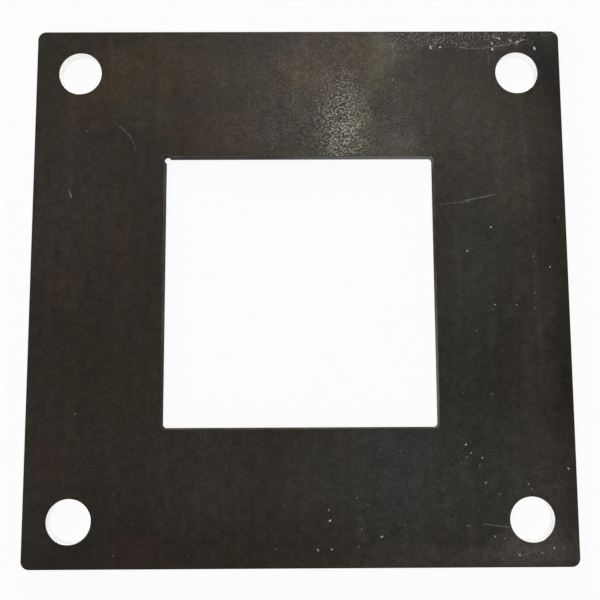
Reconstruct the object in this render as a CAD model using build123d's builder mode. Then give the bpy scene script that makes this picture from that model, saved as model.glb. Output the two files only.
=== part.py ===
from build123d import *
import os

# Square cover plate with a square window and four bolt holes, cut in one piece from flat steel.
# It lies flat: X and Y run along its sides and Z is up through its thickness. The origin is at
# the middle of its underside. All sizes are in millimetres.

# Blank
plate_x = 150.0
plate_y = 150.0
thickness = 3.0
outer_corner_radius = 2.3
edge_break = 0.25  # rounding left along the outer rim, top and bottom, by deburring

# Window, in the middle of the plate
window_x = 76.0
window_y = 76.0
window_corner_radius = 1.0

# Where the cut of the window starts and ends, the torch leaves a small round bite in the
# corner at -X, +Y: this is its radius and how far inside both window edges its centre lies.
bite_radius = 0.9
bite_inset = 0.35

# Bolt holes, one near each corner: how far their centres lie inside the sides of the plate
hole_diameter = 12.0
hole_margin_x = 12.5
hole_margin_y = 12.5

hole_spacing_x = plate_x - 2 * hole_margin_x
hole_spacing_y = plate_y - 2 * hole_margin_y


with BuildPart() as plate:
    # The blank, with its outer rim broken before anything is cut through it
    with BuildSketch():
        RectangleRounded(plate_x, plate_y, outer_corner_radius)
    extrude(amount=thickness)
    rims = plate.edges().group_by(Axis.Z)
    fillet(rims[0] + rims[-1], min(edge_break, thickness / 3))

    # The window and the bite at the start of its cut, with walls left square as cut
    with BuildSketch():
        RectangleRounded(window_x, window_y, window_corner_radius)
        with Locations((bite_inset - window_x / 2, window_y / 2 - bite_inset)):
            Circle(bite_radius)
    extrude(amount=thickness, mode=Mode.SUBTRACT)

    # The bolt holes, drilled from the top
    with Locations((0, 0, thickness)):
        with GridLocations(hole_spacing_x, hole_spacing_y, 2, 2):
            Hole(hole_diameter / 2)

plate.part.label = "plate"

os.makedirs("parts", exist_ok=True)
export_step(plate.part, "parts/plate.step")
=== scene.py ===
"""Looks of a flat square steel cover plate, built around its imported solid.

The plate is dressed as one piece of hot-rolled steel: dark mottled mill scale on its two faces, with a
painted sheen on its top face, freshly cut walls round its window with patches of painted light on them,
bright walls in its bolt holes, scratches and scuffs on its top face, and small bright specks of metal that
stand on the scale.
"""

from __future__ import annotations

import logging
import math
import random
from dataclasses import dataclass, field
from enum import Enum

import bmesh
import bpy
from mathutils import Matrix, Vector

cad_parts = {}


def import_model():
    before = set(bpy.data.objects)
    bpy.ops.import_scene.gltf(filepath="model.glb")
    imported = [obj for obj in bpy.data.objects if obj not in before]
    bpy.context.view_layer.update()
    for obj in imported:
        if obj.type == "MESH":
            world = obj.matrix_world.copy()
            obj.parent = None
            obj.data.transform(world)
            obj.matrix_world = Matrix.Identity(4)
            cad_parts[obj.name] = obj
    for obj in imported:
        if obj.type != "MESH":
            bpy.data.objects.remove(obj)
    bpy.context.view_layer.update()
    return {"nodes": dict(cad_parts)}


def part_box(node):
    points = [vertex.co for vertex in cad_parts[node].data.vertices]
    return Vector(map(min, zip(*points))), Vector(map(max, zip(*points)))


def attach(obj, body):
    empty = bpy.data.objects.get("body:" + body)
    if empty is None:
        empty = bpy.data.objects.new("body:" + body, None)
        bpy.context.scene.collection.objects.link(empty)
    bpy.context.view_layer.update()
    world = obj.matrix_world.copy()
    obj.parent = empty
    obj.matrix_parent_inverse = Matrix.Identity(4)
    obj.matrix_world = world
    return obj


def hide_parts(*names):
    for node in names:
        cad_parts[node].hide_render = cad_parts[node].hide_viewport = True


log = logging.getLogger("cover_plate")

MM = 0.001  # one millimetre, in metres
BODY = "root"
PLATE_NODE = "plate"

Colour = tuple[float, float, float]
Socket = bpy.types.NodeSocket


def from_srgb(red: int, green: int, blue: int) -> Colour:
    """Turns a display colour into the linear colour that a shader takes.

    Args:
        red: Red, 0 to 255.
        green: Green, 0 to 255.
        blue: Blue, 0 to 255.

    Returns:
        The three linear values, 0 to 1.
    """
    knee, slope, offset, power = 0.04045, 12.92, 0.055, 2.4
    linear = []
    for value in (red / 255, green / 255, blue / 255):
        bent = ((value + offset) / (1 + offset)) ** power
        linear.append(value / slope if value <= knee else bent)
    return (linear[0], linear[1], linear[2])


# Tints that heat has left in the scale, and the darker and greyer places in it.
STRAW = from_srgb(82, 67, 46)
RUST = from_srgb(88, 66, 50)
MOSS = from_srgb(64, 67, 44)
LIME = from_srgb(84, 85, 60)
UMBER = from_srgb(60, 51, 40)
SLATE = from_srgb(62, 63, 62)
TEAL = from_srgb(55, 57, 55)
PLUM = from_srgb(62, 57, 56)
ASH = from_srgb(76, 75, 64)
CRIMSON = from_srgb(62, 36, 32)
# Near-black, which darkens the top face towards its corner at -X, -Y and along its +X edge.
NEAR_BLACK = from_srgb(26, 22, 20)
PEWTER = from_srgb(94, 90, 84)
BRIGHT = from_srgb(192, 188, 181)


class Face(Enum):
    """The kinds of surface on the plate, numbered as its material slots."""

    SCALE = 0
    WINDOW_WALL = 1
    BORE_WALL = 2
    RIM = 3
    WORN_EDGE = 4
    RIM_EDGE = 5


@dataclass
class NodeBench:
    """A short way to lay out and link the nodes of one tree.

    Attributes:
        tree: The node tree that the nodes go into.
    """

    tree: bpy.types.NodeTree

    def add(self, kind: str, **settings: object) -> bpy.types.Node:
        """Adds a node and sets its options.

        Args:
            kind: The node's type name.
            **settings: Option names and values, such as operation="MULTIPLY".

        Returns:
            The new node.
        """
        node = self.tree.nodes.new(kind)
        for name, value in settings.items():
            setattr(node, name, value)
        return node

    def feed(self, socket: Socket, value: object) -> None:
        """Links a socket to another, or sets its value.

        Args:
            socket: The input socket.
            value: An output socket to link, or a plain value.
        """
        if isinstance(value, bpy.types.NodeSocket):
            self.tree.links.new(value, socket)
        else:
            socket.default_value = value

    def math(self, operation: str, first: object, second: object = 0.0, clamp: bool = False) -> Socket:
        """Works out one value from two.

        Args:
            operation: The Math node's operation.
            first: Its first input, a socket or a number.
            second: Its second input, a socket or a number.
            clamp: Whether the result is kept between 0 and 1.

        Returns:
            The result's socket.
        """
        node = self.add("ShaderNodeMath", operation=operation, use_clamp=clamp)
        self.feed(node.inputs[0], first)
        self.feed(node.inputs[1], second)
        return node.outputs[0]

    def vector(self, operation: str, first: object, second: object = (0.0, 0.0, 0.0)) -> bpy.types.Node:
        """Adds a Vector Math node and returns it.

        Args:
            operation: The node's operation.
            first: Its first input.
            second: Its second input.

        Returns:
            The node, because its results differ by operation.
        """
        node = self.add("ShaderNodeVectorMath", operation=operation)
        self.feed(node.inputs[0], first)
        self.feed(node.inputs[1], second)
        return node

    def ease(self, value: object, start: float, end: float, low: float = 0.0, high: float = 1.0) -> Socket:
        """Maps a value onto a smooth step.

        Args:
            value: What is mapped.
            start: The value at which the step starts.
            end: The value at which it ends.
            low: The result at the start.
            high: The result at the end.

        Returns:
            The result's socket.
        """
        node = self.add("ShaderNodeMapRange", interpolation_type="SMOOTHSTEP")
        for name, number in (("From Min", start), ("From Max", end), ("To Min", low), ("To Max", high)):
            node.inputs[name].default_value = number
        self.feed(node.inputs["Value"], value)
        return node.outputs["Result"]

    def noise(self, where: object, scale: float, detail: float = 3.0, rough: float = 0.5) -> bpy.types.Node:
        """Adds a noise texture.

        Args:
            where: The coordinates.
            scale: Waves in a metre.
            detail: Octaves.
            rough: How much the finer octaves count.

        Returns:
            The node, with its Fac and Color outputs.
        """
        node = self.add("ShaderNodeTexNoise")
        self.feed(node.inputs["Vector"], where)
        node.inputs["Scale"].default_value = scale
        node.inputs["Detail"].default_value = detail
        node.inputs["Roughness"].default_value = rough
        return node

    def map(self, where: object, place: Vector, turn: float, size: Vector, kind: str = "TEXTURE") -> Socket:
        """Moves, turns and scales coordinates.

        Args:
            where: The coordinates.
            place: Where the pattern's own zero lies.
            turn: Turn about Z, in radians.
            size: The pattern's size along its axes.
            kind: The Mapping node's type.

        Returns:
            The mapped coordinates.
        """
        node = self.add("ShaderNodeMapping", vector_type=kind)
        self.feed(node.inputs["Vector"], where)
        node.inputs["Location"].default_value = place
        node.inputs["Rotation"].default_value = (0.0, 0.0, turn)
        node.inputs["Scale"].default_value = size
        return node.outputs["Vector"]

    def blend(self, factor: object, first: object, second: object, how: str = "MIX") -> Socket:
        """Blends two colours.

        Args:
            factor: How much of the second colour, 0 to 1.
            first: The first colour, a socket or three numbers.
            second: The second colour, a socket or three numbers.
            how: The blend type.

        Returns:
            The blended colour's socket.
        """
        node = self.add("ShaderNodeMix", data_type="RGBA", blend_type=how)
        self.feed(node.inputs["Factor"], factor)
        colours = [s for s in node.inputs if s.type == "RGBA"]
        for socket, value in zip(colours, (first, second)):
            self.feed(socket, value if isinstance(value, bpy.types.NodeSocket) else (*value, 1.0))
        return next(s for s in node.outputs if s.type == "RGBA")

    def bump(self, height: object, distance: float, strength: float, below: object = None) -> Socket:
        """Adds a bump.

        Args:
            height: The height, 0 to 1.
            distance: What a height of 1 stands for, in metres.
            strength: How much of the bump is used.
            below: The normal that the bump starts from, or None.

        Returns:
            The bumped normal's socket.
        """
        node = self.add("ShaderNodeBump")
        self.feed(node.inputs["Height"], height)
        node.inputs["Distance"].default_value = distance
        node.inputs["Strength"].default_value = strength
        if below is not None:
            self.feed(node.inputs["Normal"], below)
        return node.outputs["Normal"]


def new_material(name: str) -> tuple[bpy.types.Material, NodeBench, bpy.types.Node, Socket]:
    """Starts a material that has only its shader and its output.

    Args:
        name: The material's name.

    Returns:
        The material, the bench of its tree, its Principled shader and its Object coordinates.
    """
    material = bpy.data.materials.new(name)
    material.use_nodes = True
    material.node_tree.nodes.clear()
    bench = NodeBench(material.node_tree)
    shader = bench.add("ShaderNodeBsdfPrincipled")
    output = bench.add("ShaderNodeOutputMaterial")
    bench.feed(output.inputs["Surface"], shader.outputs["BSDF"])
    coordinates = bench.add("ShaderNodeTexCoord").outputs["Object"]
    return material, bench, shader, coordinates


@dataclass(frozen=True)
class Stain:
    """A soft-edged patch of another colour in the scale.

    Attributes:
        centre: Its middle on the top face, in millimetres.
        reach: How far it reaches along X and Y, in millimetres.
        colour: Its colour.
        strength: How much of that colour shows at its middle.
    """

    centre: tuple[float, float]
    reach: tuple[float, float]
    colour: Colour
    strength: float

    def mask(self, bench: NodeBench, where: Socket) -> Socket:
        """Returns the socket of the patch's own strength at each point.

        Args:
            bench: The bench of the material's tree.
            where: The coordinates, already made uneven.
        """
        place = Vector((self.centre[0] * MM, self.centre[1] * MM, 0.0))
        size = Vector((self.reach[0] * MM, self.reach[1] * MM, 1.0))
        local = bench.map(where, place, 0.0, size)
        distance = bench.vector("LENGTH", local).outputs["Value"]
        return bench.ease(distance, 0.0, 1.0, self.strength, 0.0)


# Marks on the top face are placed from these, in millimetres from the plate's middle.
BOLT_MM = 62.5
WINDOW_MM = 38.0
FAR_BOLT = (BOLT_MM, BOLT_MM)
NEAR_BOLT = (BOLT_MM, -BOLT_MM)
WINDOW_FAR_RIGHT = (WINDOW_MM, WINDOW_MM)
WINDOW_FAR_LEFT = (-WINDOW_MM, WINDOW_MM)
RIGHT_RIM = (75.0, 0.0)


@dataclass(frozen=True)
class Scratch:
    """A fine line scored through the scale, straight or gently bowed.

    Attributes:
        beside: The bolt hole, window corner or rim that its ends are measured from.
        start: One end, in millimetres from there.
        end: The other end, in millimetres from there.
        width: Half its width at the middle, in millimetres.
        strength: How brightly the bare steel shows in it.
        bow: How far its middle bows to its left, in millimetres.
    """

    beside: tuple[float, float]
    start: tuple[float, float]
    end: tuple[float, float]
    width: float
    strength: float
    bow: float = 0.0

    def mask(self, bench: NodeBench, where: Socket) -> Socket:
        """Returns the socket of the scratch's strength at each point.

        Args:
            bench: The bench of the material's tree.
            where: Object coordinates.
        """
        run = Vector(self.end) - Vector(self.start)
        first = Vector(self.beside) + Vector(self.start)
        place = Vector((first.x * MM, first.y * MM, 0.0))
        size = Vector((run.length * MM, self.width * MM, 1.0))
        local = bench.map(where, place, math.atan2(run.y, run.x), size)
        split = bench.add("ShaderNodeSeparateXYZ")
        bench.feed(split.inputs[0], local)
        along, across = split.outputs["X"], split.outputs["Y"]
        hump = bench.math("MULTIPLY", along, bench.math("SUBTRACT", 1.0, along))
        middle = bench.math("MULTIPLY", hump, 4 * self.bow / self.width)
        offset = bench.math("ABSOLUTE", bench.math("SUBTRACT", across, middle))
        line = bench.ease(offset, 0.0, 1.0, self.strength, 0.0)
        taper = bench.ease(hump, 0.0, 0.12)
        return bench.math("MULTIPLY", line, taper)


@dataclass(frozen=True)
class MillScale:
    """Dark mottled oxide skin of hot-rolled steel, with what has marked it.

    Attributes:
        brown: Its commonest colour.
        olive: The greener colour that drifts through it.
        steel_grey: The greyer colour that drifts through it.
        bare: The colour of steel where the scale is scored away.
        stains: Patches of other colours on the top face.
        scuffed: Places on the top face that are scuffed in small flakes.
        scratches: Scored lines on the top face.
        roughness: Its lowest and highest roughness.
        metallic: How metal-like it reflects.
        specular: How strongly its oxide reflects.
        burnish_and_painted_sheen: The patch that rolling has left smoother, with a painted sheen that
            lightens its colour where the gloss lamp's highlight falls.
        halo: How far the fainter edge of that patch reaches along X and Y, in millimetres.
    """

    brown: Colour = from_srgb(51, 44, 35)
    olive: Colour = from_srgb(49, 46, 35)
    steel_grey: Colour = from_srgb(50, 47, 42)
    bare: Colour = BRIGHT
    roughness: tuple[float, float] = (0.34, 0.39)
    metallic: float = 0.3
    specular: float = 0.25
    # Painted sheen with real smoothing: the patch's light colour paints the gloss lamp's highlight, and its
    # lower roughness is real.
    burnish_and_painted_sheen: Stain = Stain((12.0, 46.5), (13.0, 27), from_srgb(122, 119, 108), 0.88)
    halo: tuple[float, float] = (46.0, 52.0)
    stains: tuple[Stain, ...] = (
        Stain((-66, 60), (15, 26), UMBER, 0.5),
        Stain((-66, 28), (22, 46), from_srgb(68, 62, 56), 0.4),
        Stain((-53, 60), (15, 16), STRAW, 0.3),
        Stain((-36, 64), (26, 16), STRAW, 0.32),
        Stain((-16, 54), (17, 20), UMBER, 0.4),
        Stain((-24, 46), (22, 9), RUST, 0.2),
        Stain((-42, 50), (13, 9), MOSS, 0.36),
        Stain((3, 63), (13, 15), RUST, 0.32),
        Stain((22, 68), (15, 8), STRAW, 0.4),
        Stain((23, 61), (9, 10), LIME, 0.36),
        Stain((18, 50), (7, 11), LIME, 0.4),
        Stain((28, 42), (9, 10), PEWTER, 0.28),
        Stain((26, 70), (10, 10), from_srgb(106, 103, 88), 0.27),
        Stain((47, 53), (18, 24), ASH, 0.3),
        Stain((58, 38), (20, 34), ASH, 0.48),
        Stain((-54, 14), (26, 34), UMBER, 0.25),
        Stain((-66, 0), (8, 10), STRAW, 0.2),
        Stain((-60, -14), (24, 40), from_srgb(49, 41, 30), 0.4),
        Stain((-47, -26), (14, 24), MOSS, 0.12),
        Stain((-50, -68), (46, 29), NEAR_BLACK, 0.5),
        Stain((-36, -58), (24, 16), STRAW, 0.1),
        Stain((-68, -46), (8, 10), CRIMSON, 0.35),
        Stain((-45, -71), (16, 7), CRIMSON, 0.4),
        Stain((-75, -77), (26, 24), NEAR_BLACK, 0.8),
        Stain((-6, -50), (46, 25), PLUM, 0.55),
        Stain((25, -42), (15, 8), from_srgb(74, 74, 75), 0.3),
        Stain((30, -52), (40, 32), SLATE, 0.7),
        Stain((60, -54), (28, 36), from_srgb(68, 67, 64), 0.55),
        Stain((48, -6), (15, 54), TEAL, 0.6),
        Stain((52, 3), (20, 17), ASH, 0.2),
        Stain((65, -16), (12, 60), PLUM, 0.55),
        Stain((73, -26), (6, 30), NEAR_BLACK, 0.5),
        Stain((66, -46), (8, 13), from_srgb(70, 58, 54), 0.35),
        Stain((58, -71), (24, 7), from_srgb(90, 80, 75), 0.4),
        Stain((62, 68), (24, 12), from_srgb(70, 66, 60), 0.35),
        Stain((72, 62), (9, 25), from_srgb(32, 32, 33), 0.75),
        Stain((66, -69), (20, 10), PEWTER, 0.4),
        Stain((34, -74), (34, 7), PEWTER, 0.2),
    )
    scuffed: tuple[Stain, ...] = (
        Stain((47, 74.0), (37, 6.5), BRIGHT, 1.0),
        Stain((27, 71.5), (12, 7), BRIGHT, 0.36),
        Stain((60, -71.6), (18, 5.5), BRIGHT, 0.27),
        Stain((68, -54), (6, 9), BRIGHT, 0.3),
    )
    scratches: tuple[Scratch, ...] = (
        Scratch(FAR_BOLT, (-25, 7), (-21, 11), 0.2, 0.4),
        Scratch(FAR_BOLT, (-19, 8), (3, 10), 0.16, 0.34, -1.5),
        Scratch(FAR_BOLT, (-7, 8), (1, 9), 0.2, 0.4),
        Scratch(FAR_BOLT, (0, 8), (3, 10), 0.26, 0.7, 0.5),
        Scratch(FAR_BOLT, (-7, 11), (-4, 10), 0.26, 0.5),
        Scratch(FAR_BOLT, (5, 10), (4, 8), 0.22, 0.4, 0.5),
        Scratch(FAR_BOLT, (-8, 7), (-8, 2), 0.2, 0.2),
        Scratch(WINDOW_FAR_RIGHT, (1, -14), (11, -13), 0.16, 0.3),
        Scratch(WINDOW_FAR_RIGHT, (8, -13), (18, -11), 0.16, 0.42),
        Scratch(NEAR_BOLT, (-14, -1), (-6, -2), 0.28, 0.22),
        Scratch(WINDOW_FAR_LEFT, (-15, 10), (-8, 1), 0.2, 0.22, 1.5),
        Scratch(WINDOW_FAR_LEFT, (-27, -9), (-26, -12), 0.25, 0.5),
        Scratch(RIGHT_RIM, (-12, 60), (-10, 20), 1.4, 0.035),
        Scratch(RIGHT_RIM, (-10, 20), (-8, -26), 1.4, 0.03),
    )

    def build(self, top: float) -> bpy.types.Material:
        """Builds the finish.

        Args:
            top: Height of the plate's top face, in metres.

        Returns:
            The material.
        """
        material, bench, shader, where = new_material("mill_scale")
        height = bench.add("ShaderNodeSeparateXYZ")
        bench.feed(height.inputs[0], where)
        on_top = bench.math("GREATER_THAN", height.outputs["Z"], top * 0.8)
        grain = self._grain(bench, where)
        colour = self._mottle(bench, where)
        colour = self._stained(bench, where, colour, on_top)
        burnish_and_sheen_mask = self._burnish_and_painted_sheen(bench, where, on_top)
        # Painted sheen: lightens the colour where the gloss lamp's highlight falls on the top face.
        colour = bench.blend(burnish_and_sheen_mask, colour, self.burnish_and_painted_sheen.colour)
        colour = bench.blend(1.0, colour, self._tint(bench, grain, 0.75, 1.25), "MULTIPLY")
        for streaks in (self._streaks(bench, where, 420), self._streaks(bench, where, 95)):
            colour = bench.blend(1.0, colour, self._tint(bench, streaks, 0.93, 1.07), "MULTIPLY")
        clouds = bench.noise(where, 330, 2.0, 0.6).outputs["Fac"]
        colour = bench.blend(1.0, colour, self._tint(bench, clouds, 0.88, 1.12), "MULTIPLY")
        scored = bench.math("MULTIPLY", self._scored(bench, where), on_top)
        colour = bench.blend(scored, colour, self.bare)
        bench.feed(shader.inputs["Base Color"], colour)
        shader.inputs["Metallic"].default_value = self.metallic
        low, high = self.roughness
        shader.inputs["Specular IOR Level"].default_value = self.specular
        uneven = bench.noise(where, 260, 3.0, 0.6).outputs["Fac"]
        rough = bench.ease(uneven, 0.3, 0.7, low, high)
        smooth = bench.math("MULTIPLY", burnish_and_sheen_mask, 0.12)
        bench.feed(shader.inputs["Roughness"], bench.math("SUBTRACT", rough, smooth))
        bench.feed(shader.inputs["Normal"], self._relief(bench, where, grain, scored))
        return material

    def _grain(self, bench: NodeBench, where: Socket) -> Socket:
        """Returns the fine pebbled grain of the scale, about half a millimetre across."""
        return bench.noise(where, 1500, 3.0, 0.65).outputs["Fac"]

    def _streaks(self, bench: NodeBench, where: Socket, scale: float) -> Socket:
        """Returns faint streaks that run the way the sheet was rolled, along Y.

        Args:
            bench: The bench of the material's tree.
            where: Object coordinates.
            scale: Streaks in a metre, across them.
        """
        drawn_out = bench.map(where, Vector(), 0.0, Vector((1.0, 14.0, 1.0)))
        return bench.noise(drawn_out, scale, 3.0, 0.6).outputs["Fac"]

    def _burnish_and_painted_sheen(self, bench: NodeBench, where: Socket, on_top: Socket) -> Socket:
        """Returns the mask of the smoother patch and its painted sheen: the tops of its pebbles, inside the
        patch.
        """
        drawn_out = bench.map(where, Vector(), 0.0, Vector((1.25, 1.0, 1.0)))
        pebbles = bench.ease(bench.noise(drawn_out, 2050, 1.0, 0.5).outputs["Fac"], 0.46, 0.6)
        around = Stain(self.burnish_and_painted_sheen.centre, self.halo, self.burnish_and_painted_sheen.colour, 0.22).mask(bench, where)
        patch = bench.math("MAXIMUM", self.burnish_and_painted_sheen.mask(bench, where), around)
        return bench.math("MULTIPLY", bench.math("MULTIPLY", patch, pebbles), on_top)

    def _tint(self, bench: NodeBench, pattern: Socket, low: float, high: float) -> Socket:
        """Returns a pattern as a grey to multiply the colour by, between two levels."""
        shade = bench.ease(pattern, 0.3, 0.7, low, high)
        joined = bench.add("ShaderNodeCombineXYZ")
        for socket in joined.inputs:
            bench.feed(socket, shade)
        return joined.outputs[0]

    def _mottle(self, bench: NodeBench, where: Socket) -> Socket:
        """Returns the scale's own colour, which drifts between three near neighbours."""
        rolled = bench.map(where, Vector(), 0.0, Vector((1.0, 1.3, 1.0)))
        broad = bench.noise(rolled, 60, 4.0, 0.6)
        narrow = bench.noise(rolled, 190, 3.0, 0.6)
        towards_olive = bench.ease(broad.outputs["Fac"], 0.42, 0.66)
        towards_grey = bench.ease(narrow.outputs["Fac"], 0.45, 0.65, 0.0, 0.8)
        colour = bench.blend(towards_olive, self.brown, self.olive)
        return bench.blend(towards_grey, colour, self.steel_grey)

    def _stained(self, bench: NodeBench, where: Socket, colour: Socket, on_top: Socket) -> Socket:
        """Returns the colour with the patches laid over it, their edges made uneven."""
        wander = bench.noise(where, 75, 3.0, 0.6).outputs["Color"]
        centred = bench.vector("SUBTRACT", wander, (0.5, 0.5, 0.5)).outputs[0]
        shift = bench.vector("MULTIPLY", centred, (22 * MM, 22 * MM, 0.0)).outputs[0]
        uneven = bench.vector("ADD", where, shift).outputs[0]
        for stain in self.stains:
            mask = bench.math("MULTIPLY", stain.mask(bench, uneven), on_top)
            colour = bench.blend(mask, colour, stain.colour)
        return colour

    def _scored(self, bench: NodeBench, where: Socket) -> Socket:
        """Returns how much bare steel shows, in the scratches and in the scuffed places."""
        broken = bench.ease(bench.noise(where, 900, 2.0).outputs["Fac"], 0.36, 0.6, 0.25, 1.0)
        total: object = 0.0
        for scratch in self.scratches:
            total = bench.math("MAXIMUM", total, scratch.mask(bench, where))
        lines = bench.math("MULTIPLY", total, broken)
        brightened: object = 0.0
        for place in self.scuffed:
            brightened = bench.math("MAXIMUM", brightened, place.mask(bench, where))
        torn = bench.ease(bench.noise(where, 240, 3.0, 0.7).outputs["Fac"], 0.35, 0.62, 0.25, 1.0)
        brightened = bench.math("MULTIPLY", brightened, torn)
        peppered = bench.ease(bench.noise(where, 2300, 1.0).outputs["Fac"], 0.53, 0.68, 0.0, 0.36)
        flaked = bench.ease(bench.noise(where, 1000, 2.0).outputs["Fac"], 0.64, 0.7, 0.0, 0.8)
        peppered = bench.math("MULTIPLY", peppered, bench.ease(brightened, 0.02, 0.45))
        flaked = bench.math("MULTIPLY", flaked, bench.ease(brightened, 0.3, 0.7))
        scuffs = bench.math("MAXIMUM", peppered, flaked)
        return bench.math("MAXIMUM", lines, scuffs, clamp=True)

    def _relief(self, bench: NodeBench, where: Socket, grain: Socket, scored: Socket) -> Socket:
        """Returns the surface's normal: slow waves, pebbled grain, and grooves where it is scored."""
        waves = bench.noise(where, 60, 2.0).outputs["Fac"]
        normal = bench.bump(waves, 0.04 * MM, 0.5)
        normal = bench.bump(grain, 0.05 * MM, 0.9, normal)
        groove = bench.math("SUBTRACT", 1.0, scored)
        return bench.bump(groove, 0.03 * MM, 0.6, normal)


@dataclass(frozen=True)
class CutSteel:
    """A wall left by a cut straight down through the plate, lined from top to bottom.

    Attributes:
        name: The material's name.
        dark: Its darker colour.
        light: Its lighter colour.
        roughness: Its roughness.
        metallic: How metal-like it reflects.
        lines: Lines in a metre along the cut.
        depth: Depth of the lines, in millimetres.
        brightened: Patches of painted light that lighten the wall where light falls on it.
        specular: How strongly its skin reflects where it isn't bare metal.
    """

    name: str
    dark: Colour
    light: Colour
    roughness: float
    metallic: float
    lines: float = 3600.0
    depth: float = 0.02
    brightened: tuple[Stain, ...] = ()
    specular: float = 0.5

    def build(self) -> bpy.types.Material:
        """Builds the finish and returns the material."""
        material, bench, shader, where = new_material(self.name)
        upright = bench.map(where, Vector(), 0.0, Vector((1.0, 1.0, 14.0)))
        lines = bench.noise(upright, self.lines, 2.0, 0.6).outputs["Fac"]
        patches = bench.noise(where, 120, 3.0, 0.6).outputs["Fac"]
        tone = bench.math("ADD", bench.math("MULTIPLY", lines, 0.4), bench.math("MULTIPLY", patches, 0.6))
        colour = bench.blend(bench.ease(tone, 0.36, 0.64), self.dark, self.light)
        # Painted light: lighter patches where light falls on the wall.
        for patch in self.brightened:
            colour = bench.blend(patch.mask(bench, where), colour, patch.colour)
        bench.feed(shader.inputs["Base Color"], colour)
        shader.inputs["Metallic"].default_value = self.metallic
        shader.inputs["Roughness"].default_value = self.roughness
        shader.inputs["Specular IOR Level"].default_value = self.specular
        bench.feed(shader.inputs["Normal"], bench.bump(lines, self.depth * MM, 0.7))
        return material


@dataclass(frozen=True)
class BareSpeck:
    """Small bright beads of metal.

    Attributes:
        colour: Their colour.
        roughness: Their roughness.
        metallic: How metal-like they reflect.
    """

    colour: Colour = from_srgb(198, 197, 193)
    roughness: float = 0.38
    metallic: float = 0.5

    def build(self) -> bpy.types.Material:
        """Builds the finish and returns the material."""
        material, bench, shader, where = new_material("bare_speck")
        tone = bench.noise(where, 700, 2.0).outputs["Fac"]
        dull = (self.colour[0] * 0.5, self.colour[1] * 0.5, self.colour[2] * 0.5)
        bench.feed(shader.inputs["Base Color"], bench.blend(bench.ease(tone, 0.35, 0.6), dull, self.colour))
        shader.inputs["Metallic"].default_value = self.metallic
        shader.inputs["Roughness"].default_value = self.roughness
        return material


# Painted light on the window's walls: lighter on the +X wall towards -Y, and on the far wall towards +X.
WINDOW_WALL_PAINTED_LIGHT = (
    Stain((38, -24), (5, 36), from_srgb(112, 109, 105), 0.9),
    Stain((30, 38), (54, 5), from_srgb(122, 120, 117), 0.95),
)
WINDOW_CUT = CutSteel(
    "window_cut", from_srgb(32, 30, 28), from_srgb(64, 61, 57), 0.7, 0.1, brightened=WINDOW_WALL_PAINTED_LIGHT, specular=0.06
)
BORE_CUT = CutSteel("bore_cut", from_srgb(238, 237, 234), from_srgb(253, 252, 250), 0.22, 0.97, depth=0.004)
RIM_CUT = CutSteel("rim_cut", from_srgb(46, 42, 37), from_srgb(86, 80, 73), 0.48, 0.5)
WORN_EDGE = CutSteel(
    "worn_edge", from_srgb(44, 41, 38), from_srgb(100, 95, 88), 0.5, 0.2, depth=0.01, specular=0.15
)
RIM_EDGE = CutSteel(
    "rim_edge", from_srgb(24, 22, 21), from_srgb(44, 41, 37), 0.6, 0.1, depth=0.01, specular=0.1
)


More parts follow.
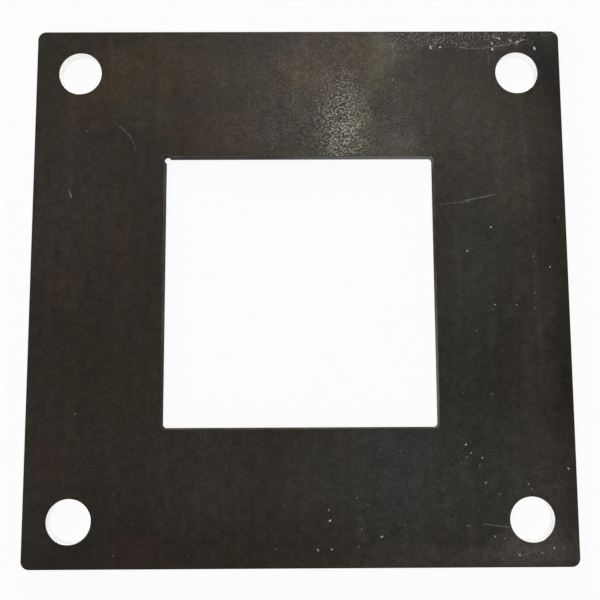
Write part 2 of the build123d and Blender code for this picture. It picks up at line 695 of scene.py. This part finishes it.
@dataclass
class CoverPlate:
    """The plate itself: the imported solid's form, with its cut edges eased and each face dressed.

    Attributes:
        low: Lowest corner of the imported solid, in metres.
        high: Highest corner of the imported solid, in metres.
        worn_mm: How much the sharp top edge of the window is worn away.
        fresh_mm: How much the other sharp edges are eased.
        bore_reach_mm: How far from a corner of the plate the walls belong to its bolt hole.
        finishes: The finishes in the order of Face, filled in by build.
    """

    low: Vector
    high: Vector
    worn_mm: float = 0.2
    fresh_mm: float = 0.06
    bore_reach_mm: float = 24.0
    finishes: list[bpy.types.Material] = field(default_factory=list)

    def build(self, node: bpy.types.Object) -> bpy.types.Object:
        """Builds the plate's piece.

        Args:
            node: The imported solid's object, which is copied and left alone.

        Returns:
            The dressed piece.
        """
        shape = bmesh.new()
        shape.from_mesh(node.data)
        bmesh.ops.remove_doubles(shape, verts=shape.verts, dist=0.001 * MM)
        self._ease_edges(shape)
        walls = (WINDOW_CUT, BORE_CUT, RIM_CUT, WORN_EDGE, RIM_EDGE)
        self.finishes = [MillScale().build(self.high.z), *(wall.build() for wall in walls)]
        self._sort_faces(shape)
        mesh = bpy.data.meshes.new("cover_plate")
        shape.to_mesh(mesh)
        shape.free()
        for finish in self.finishes:
            mesh.materials.append(finish)
        piece = bpy.data.objects.new("cover_plate", mesh)
        bpy.context.scene.collection.objects.link(piece)
        return piece

    def _ease_edges(self, shape: bmesh.types.BMesh) -> None:
        """Rounds the square edges where the cuts meet the two faces."""
        square = math.radians(60)
        middle = (self.low.z + self.high.z) / 2
        for worn, ease_mm in ((True, self.worn_mm), (False, self.fresh_mm)):
            sharp = []
            for edge in shape.edges:
                place = (edge.verts[0].co + edge.verts[1].co) / 2
                round_window = place.z > middle and not self._by_bolt_hole(place)
                turned = len(edge.link_faces) == 2 and edge.calc_face_angle() > square
                if turned and round_window == worn:
                    sharp.append(edge)
            bmesh.ops.bevel(shape, geom=sharp, offset=ease_mm * MM, segments=3, profile=0.5, affect="EDGES")

    def _by_bolt_hole(self, place: Vector) -> bool:
        """Returns whether a point is nearer to a bolt hole than to the window."""
        inset = max(self.high.x - abs(place.x), self.high.y - abs(place.y))
        return inset < self.bore_reach_mm * MM

    def _kind(self, face: bmesh.types.BMFace) -> Face:
        """Returns which surface of the plate a face belongs to."""
        flat, upright = 0.97, 0.35
        if abs(face.normal.z) > flat:
            return Face.SCALE
        middle = face.calc_center_median()
        inset_x = self.high.x - abs(middle.x)
        inset_y = self.high.y - abs(middle.y)
        outwards = face.normal.x * middle.x + face.normal.y * middle.y > 0
        rim_depth = 3 * MM
        if outwards and min(inset_x, inset_y) < rim_depth:
            return Face.RIM if abs(face.normal.z) < upright else Face.RIM_EDGE
        if self._by_bolt_hole(middle):
            return Face.BORE_WALL
        return Face.WINDOW_WALL if abs(face.normal.z) < upright else Face.WORN_EDGE

    def _sort_faces(self, shape: bmesh.types.BMesh) -> None:
        """Gives each face its finish, and keeps the flat faces flat beside their rounded edges."""
        flat = 0.99999
        bend = math.radians(35)
        for face in shape.faces:
            face.smooth = True
            face.material_index = self._kind(face).value
        for edge in shape.edges:
            if len(edge.link_faces) != 2:
                continue
            one, two = (abs(f.normal.z) > flat for f in edge.link_faces)
            edge.smooth = one == two and edge.calc_face_angle() < bend


@dataclass(frozen=True)
class Crowd:
    """A part of the top face that has some larger beads.

    Attributes:
        beside: The bolt hole or window corner that its middle is measured from.
        middle: Its middle, in millimetres from there.
        reach: How far it reaches to each side along X and Y, in millimetres.
        beads: How many beads lie in it.
        radii: The smallest and the largest radius of a bead, in millimetres.
    """

    beside: tuple[float, float]
    middle: tuple[float, float]
    reach: tuple[float, float]
    beads: int
    radii: tuple[float, float]


FAR_RIM = Crowd(FAR_BOLT, (-1, 9), (8, 2), 6, (0.3, 0.46))
ALONG_FAR_RIM = Crowd(FAR_BOLT, (-21, 7), (4, 1), 3, (0.28, 0.36))
ABOVE_NEAR_BOLT = Crowd(NEAR_BOLT, (-15, 17), (3, 3), 5, (0.16, 0.28))
ROUND_NEAR_BOLT = Crowd(NEAR_BOLT, (-1, 2), (12, 12), 8, (0.18, 0.28))
NEAR_SIDE = Crowd(NEAR_BOLT, (-49, -4), (9, 8), 5, (0.18, 0.34))
RIGHT_OF_WINDOW = Crowd(WINDOW_FAR_RIGHT, (20, -32), (12, 20), 4, (0.2, 0.28))
CROWDS = (FAR_RIM, ALONG_FAR_RIM, ABOVE_NEAR_BOLT, ROUND_NEAR_BOLT, NEAR_SIDE, RIGHT_OF_WINDOW)


@dataclass
class Specks:
    """Small bright beads of metal that stand on the scale, thickest where the crowds are.

    Attributes:
        top: Height of the top face, in metres.
        half: Half the plate's width, in metres.
        window_half_mm: Half the window's width, with a margin.
        bolt_mm: How far each bolt hole lies from the middle along X and along Y.
        bolt_clear_mm: How far a bead stays from a bolt hole's middle.
        seed: Seed of the scatter.
        rim_clear_mm: How far a bead's middle stays from the plate's rim.
        loose: How many of the finest beads are scattered over the whole face.
        loose_rim_mm: How far those stay from the rim.
        loose_radii: Their smallest and largest radius, in millimetres.
        flatness: How high a bead stands, as a share of its radius.
        crowds: The parts of the face that have larger beads.
    """

    top: float
    half: float
    window_half_mm: float = 39.5
    bolt_mm: float = BOLT_MM
    bolt_clear_mm: float = 7.2
    seed: int = 11
    rim_clear_mm: float = 1.0
    loose: int = 44
    loose_rim_mm: float = 1.5
    loose_radii: tuple[float, float] = (0.06, 0.15)
    flatness: float = 0.1
    crowds: tuple[Crowd, ...] = CROWDS

    def build(self) -> bpy.types.Object:
        """Builds the beads as one piece.

        Returns:
            The finished piece, a plain mesh.
        """
        mesh = bpy.data.meshes.new("specks")
        beads = [*self._crowded(), *self._scatter()]
        mesh.from_pydata([(x * MM, y * MM, self.top) for x, y, _ in beads], [], [])
        radius = mesh.attributes.new("bead_radius", "FLOAT", "POINT")
        radius.data.foreach_set("value", [r * MM for _, _, r in beads])
        piece = bpy.data.objects.new("specks", mesh)
        bpy.context.scene.collection.objects.link(piece)
        finish = BareSpeck().build()
        tree = self._tree(finish)
        modifier = piece.modifiers.new("beads", "NODES")
        modifier.node_group = tree
        slot = next(i for i in tree.interface.items_tree if i.name == "Flatness")
        modifier[slot.identifier] = self.flatness
        graph = bpy.context.evaluated_depsgraph_get()
        plain = bpy.data.meshes.new_from_object(piece.evaluated_get(graph))
        piece.modifiers.remove(modifier)
        piece.data = plain
        plain.name = "specks"
        return piece

    def _clear(self, x: float, y: float) -> bool:
        """Returns whether a bead at this place lies on the plate, clear of its openings."""
        if max(abs(x), abs(y)) > self.half / MM - self.rim_clear_mm:
            return False
        in_window = max(abs(x), abs(y)) < self.window_half_mm
        from_bolt = math.hypot(abs(x) - self.bolt_mm, abs(y) - self.bolt_mm)
        return not in_window and from_bolt > self.bolt_clear_mm

    def _crowded(self) -> list[tuple[float, float, float]]:
        """Returns the larger beads of each crowd, as X, Y and radius in millimetres."""
        draw = random.Random(self.seed + 1)
        beads = []
        for crowd in self.crowds:
            wanted = len(beads) + crowd.beads
            while len(beads) < wanted:
                x = crowd.beside[0] + crowd.middle[0] + draw.uniform(-crowd.reach[0], crowd.reach[0])
                y = crowd.beside[1] + crowd.middle[1] + draw.uniform(-crowd.reach[1], crowd.reach[1])
                if self._clear(x, y):
                    beads.append((x, y, draw.uniform(*crowd.radii)))
        return beads

    def _scatter(self) -> list[tuple[float, float, float]]:
        """Returns the scattered beads, thickest towards the corner at +X, -Y."""
        draw = random.Random(self.seed)
        reach = self.half / MM - self.loose_rim_mm
        beads = []
        while len(beads) < self.loose:
            x, y = draw.uniform(-reach, reach), draw.uniform(-reach, reach)
            crowd = 0.12 + 0.88 * max(0.0, min(1.0, (x - y) / (2 * reach) * 1.6 - 0.3))
            size = draw.uniform(*self.loose_radii)
            if draw.random() < crowd and self._clear(x, y):
                beads.append((x, y, size))
        return beads

    def _tree(self, finish: bpy.types.Material) -> bpy.types.NodeTree:
        """Builds the Geometry Nodes tree that sets a low bead on each point.

        Args:
            finish: The beads' material.

        Returns:
            The tree.
        """
        tree = bpy.data.node_groups.new("bead_on_each_point", "GeometryNodeTree")
        face = tree.interface
        face.new_socket("Geometry", in_out="INPUT", socket_type="NodeSocketGeometry")
        face.new_socket("Flatness", in_out="INPUT", socket_type="NodeSocketFloat")
        face.new_socket("Geometry", in_out="OUTPUT", socket_type="NodeSocketGeometry")
        bench = NodeBench(tree)
        given = bench.add("NodeGroupInput")
        result = bench.add("NodeGroupOutput")
        bead = bench.add("GeometryNodeMeshIcoSphere")
        bead.inputs["Radius"].default_value = 1.0
        bead.inputs["Subdivisions"].default_value = 2
        squash = bench.add("GeometryNodeTransform")
        scale = bench.add("ShaderNodeCombineXYZ")
        scale.inputs["X"].default_value = 1.25
        scale.inputs["Y"].default_value = 0.8
        bench.feed(scale.inputs["Z"], given.outputs["Flatness"])
        bench.feed(squash.inputs["Geometry"], bead.outputs["Mesh"])
        bench.feed(squash.inputs["Scale"], scale.outputs[0])
        radius = bench.add("GeometryNodeInputNamedAttribute", data_type="FLOAT")
        radius.inputs["Name"].default_value = "bead_radius"
        turn = bench.add("FunctionNodeRandomValue", data_type="FLOAT_VECTOR")
        tilt = 0.03
        turn.inputs["Max"].default_value = (tilt, tilt, math.tau)
        turn.inputs["Seed"].default_value = self.seed
        place = bench.add("GeometryNodeInstanceOnPoints")
        bench.feed(place.inputs["Points"], given.outputs["Geometry"])
        bench.feed(place.inputs["Instance"], squash.outputs["Geometry"])
        bench.feed(place.inputs["Rotation"], turn.outputs["Value"])
        bench.feed(place.inputs["Scale"], radius.outputs["Attribute"])
        solid = bench.add("GeometryNodeRealizeInstances")
        bench.feed(solid.inputs["Geometry"], place.outputs["Instances"])
        dress = bench.add("GeometryNodeSetMaterial")
        dress.inputs["Material"].default_value = finish
        bench.feed(dress.inputs["Geometry"], solid.outputs["Geometry"])
        bench.feed(result.inputs["Geometry"], dress.outputs["Geometry"])
        return tree


@dataclass
class Studio:
    """A white floor and backdrop, soft lamps, and the camera that looks down on the plate.

    Attributes:
        side: The plate's width, in metres.
        top: Height of its top face, in metres.
        floor_reach: Radius of the floor, in metres.
        floor_gap: How far the floor lies under the plate, so that the two never share a plane, in metres.
        wall_height: Height of the backdrop round it, in metres.
        lift: Share of plain white that the floor and backdrop show to the camera.
    """

    side: float
    top: float
    floor_reach: float = 3.0
    floor_gap: float = 0.03 * MM
    wall_height: float = 2.0
    lift: float = 0.93

    def build(self) -> None:
        """Builds the stage, the lamps, the world and the camera."""
        paper = self._paper()
        self._floor(paper)
        self._backdrop(paper)
        self._world()
        self._lamp("gloss_lamp", Vector((0.073, 0.42, 0.9)), 0.2, 1.05)
        self._lamp("soft_lamp", Vector((-0.1, 1.9, 0.9)), 1.2, 23.0)
        self._lamp("side_lamp", Vector((-1.3, -1.0, 1.1)), 0.9, 11.0)
        self._camera()

    def _paper(self) -> bpy.types.Material:
        """Builds the white of the floor and backdrop, which keeps some of the plate's shadow."""
        material = bpy.data.materials.new("white_paper")
        material.use_nodes = True
        material.node_tree.nodes.clear()
        bench = NodeBench(material.node_tree)
        path = bench.add("ShaderNodeLightPath")
        seen = bench.math("ADD", path.outputs["Is Camera Ray"], path.outputs["Is Glossy Ray"])
        seen = bench.math("ADD", seen, path.outputs["Is Transmission Ray"], clamp=True)
        matt = bench.add("ShaderNodeBsdfDiffuse")
        matt.inputs["Color"].default_value = (0.92, 0.92, 0.92, 1.0)
        white = bench.add("ShaderNodeEmission")
        white.inputs["Color"].default_value = (1.0, 1.0, 1.0, 1.0)
        white.inputs["Strength"].default_value = 1.0
        mix = bench.add("ShaderNodeMixShader")
        bench.feed(mix.inputs[0], bench.math("MULTIPLY", seen, self.lift))
        bench.feed(mix.inputs[1], matt.outputs[0])
        bench.feed(mix.inputs[2], white.outputs[0])
        output = bench.add("ShaderNodeOutputMaterial")
        bench.feed(output.inputs["Surface"], mix.outputs[0])
        return material

    def _floor(self, paper: bpy.types.Material) -> None:
        """Lays the floor just under the plate."""
        shape = bmesh.new()
        bmesh.ops.create_circle(shape, cap_ends=True, radius=self.floor_reach, segments=64)
        bmesh.ops.translate(shape, verts=shape.verts[:], vec=(0.0, 0.0, -self.floor_gap))
        self._stage_piece("floor", shape, paper)

    def _backdrop(self, paper: bpy.types.Material) -> None:
        """Stands the backdrop round the floor's edge, with its inside towards the plate."""
        shape = bmesh.new()
        bmesh.ops.create_circle(shape, cap_ends=False, radius=self.floor_reach, segments=64)
        raised = bmesh.ops.extrude_edge_only(shape, edges=shape.edges[:])
        top_ring = [v for v in raised["geom"] if isinstance(v, bmesh.types.BMVert)]
        bmesh.ops.translate(shape, verts=top_ring, vec=(0.0, 0.0, self.wall_height))
        self._stage_piece("backdrop", shape, paper)

    def _stage_piece(self, name: str, shape: bmesh.types.BMesh, paper: bpy.types.Material) -> None:
        """Makes one piece of the stage from its shape."""
        mesh = bpy.data.meshes.new(name)
        shape.to_mesh(mesh)
        shape.free()
        mesh.materials.append(paper)
        piece = bpy.data.objects.new(name, mesh)
        bpy.context.scene.collection.objects.link(piece)

    def _world(self) -> None:
        """Sets an even grey sky."""
        world = bpy.data.worlds.new("even_sky")
        world.use_nodes = True
        sky = world.node_tree.nodes["Background"]
        sky.inputs["Color"].default_value = (1.0, 1.0, 1.0, 1.0)
        sky.inputs["Strength"].default_value = 0.3
        bpy.context.scene.world = world

    def _lamp(self, name: str, place: Vector, size: float, watts: float) -> None:
        """Hangs a square soft lamp that points at the plate.

        Args:
            name: The lamp's name.
            place: Where it hangs, in metres.
            size: Its width, in metres.
            watts: Its power.
        """
        light = bpy.data.lights.new(name, "AREA")
        light.shape = "SQUARE"
        light.size = size
        light.energy = watts
        lamp = bpy.data.objects.new(name, light)
        lamp.location = place
        lamp.rotation_euler = (-place).to_track_quat("-Z", "Y").to_euler()
        bpy.context.scene.collection.objects.link(lamp)

    def _camera(self) -> None:
        """Sets the camera: above the plate and a little towards -Y, tilted back to face it."""
        tilt, pan, roll = math.radians(5.32), math.radians(-0.27), math.radians(-0.23)
        data = bpy.data.cameras.new("camera")
        data.lens = 39.0
        data.sensor_width = 36.0
        camera = bpy.data.objects.new("camera", data)
        away = Vector((-0.0053, -0.1304, 1.1975)) * self.side
        camera.location = away + Vector((0.0, 0.0, self.top))
        camera.rotation_mode = "ZYX"
        camera.rotation_euler = (tilt, pan, roll)
        bpy.context.scene.collection.objects.link(camera)
        bpy.context.scene.camera = camera


def main() -> None:
    """Builds the plate, its specks and the studio, and reports each piece."""
    logging.basicConfig(level=logging.INFO, format="%(name)s: %(message)s")
    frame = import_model()
    low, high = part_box(PLATE_NODE)

    plate = CoverPlate(low, high).build(frame["nodes"][PLATE_NODE])
    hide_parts(PLATE_NODE)
    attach(plate, BODY)
    log.info("plate: %d faces", len(plate.data.polygons))

    specks = Specks(top=high.z, half=high.x).build()
    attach(specks, BODY)
    log.info("specks: %d faces", len(specks.data.polygons))

    Studio(side=high.x - low.x, top=high.z).build()
    bpy.context.scene.view_settings.view_transform = "Standard"


if __name__ == "__main__":
    main()
